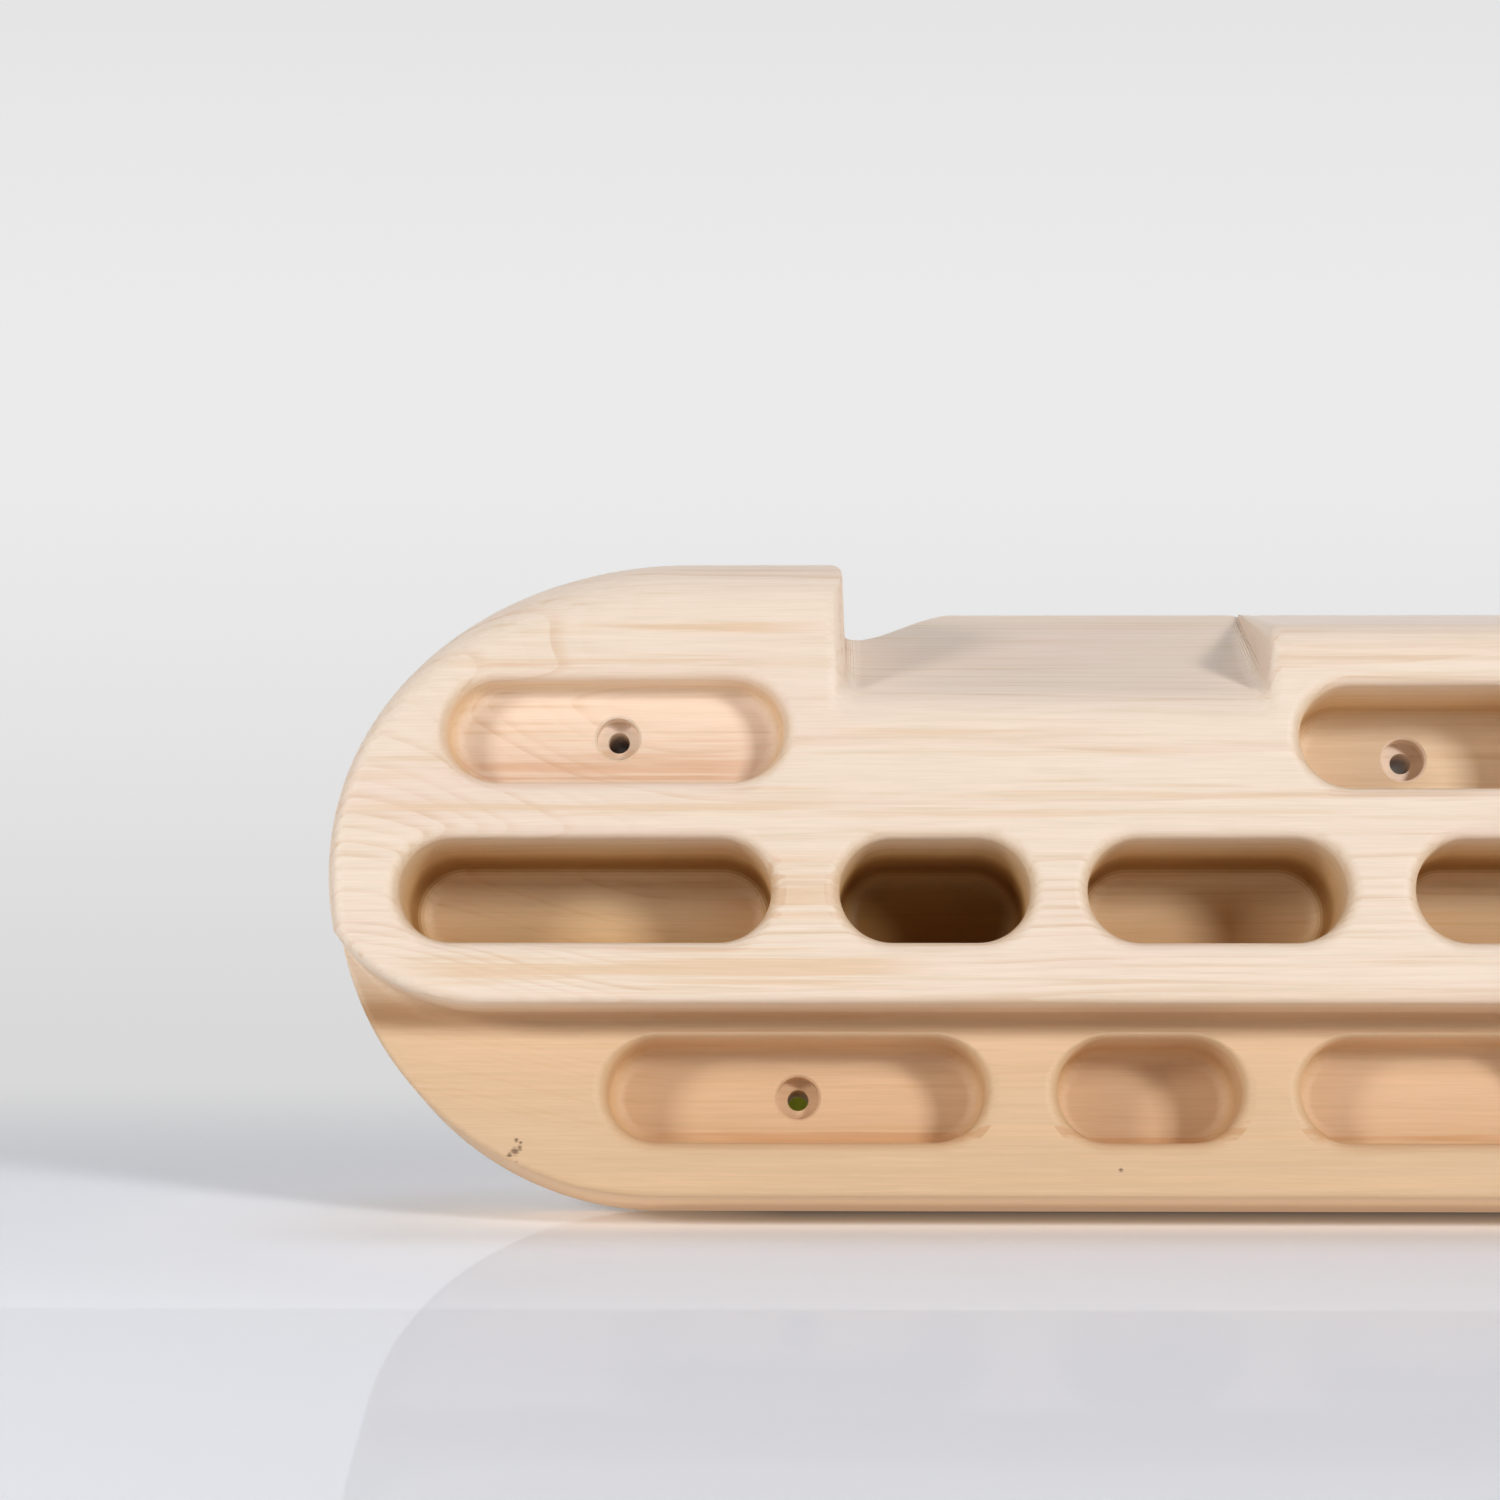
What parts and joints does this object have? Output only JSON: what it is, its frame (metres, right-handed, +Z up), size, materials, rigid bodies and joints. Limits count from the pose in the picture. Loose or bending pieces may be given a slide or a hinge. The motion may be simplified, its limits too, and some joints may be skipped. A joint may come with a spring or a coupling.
{
  "type": "hangboard",
  "caption": "Wall-mounted climbing training board carved from one block of pale wood, with rounded jugs, slopers and rows of finger pockets.",
  "frame": {"origin": "middle of the flat back face that lies against the wall", "axes": "+X along the board to the right as a climber facing it sees it, +Y into the wall, +Z up"},
  "size_m": [0.58, 0.058, 0.147],
  "materials": {
    "tulipwood": "sanded smooth, no varnish"
  },
  "bodies": {
    "root": {"board": "tulipwood"}
  },
  "joints": []
}
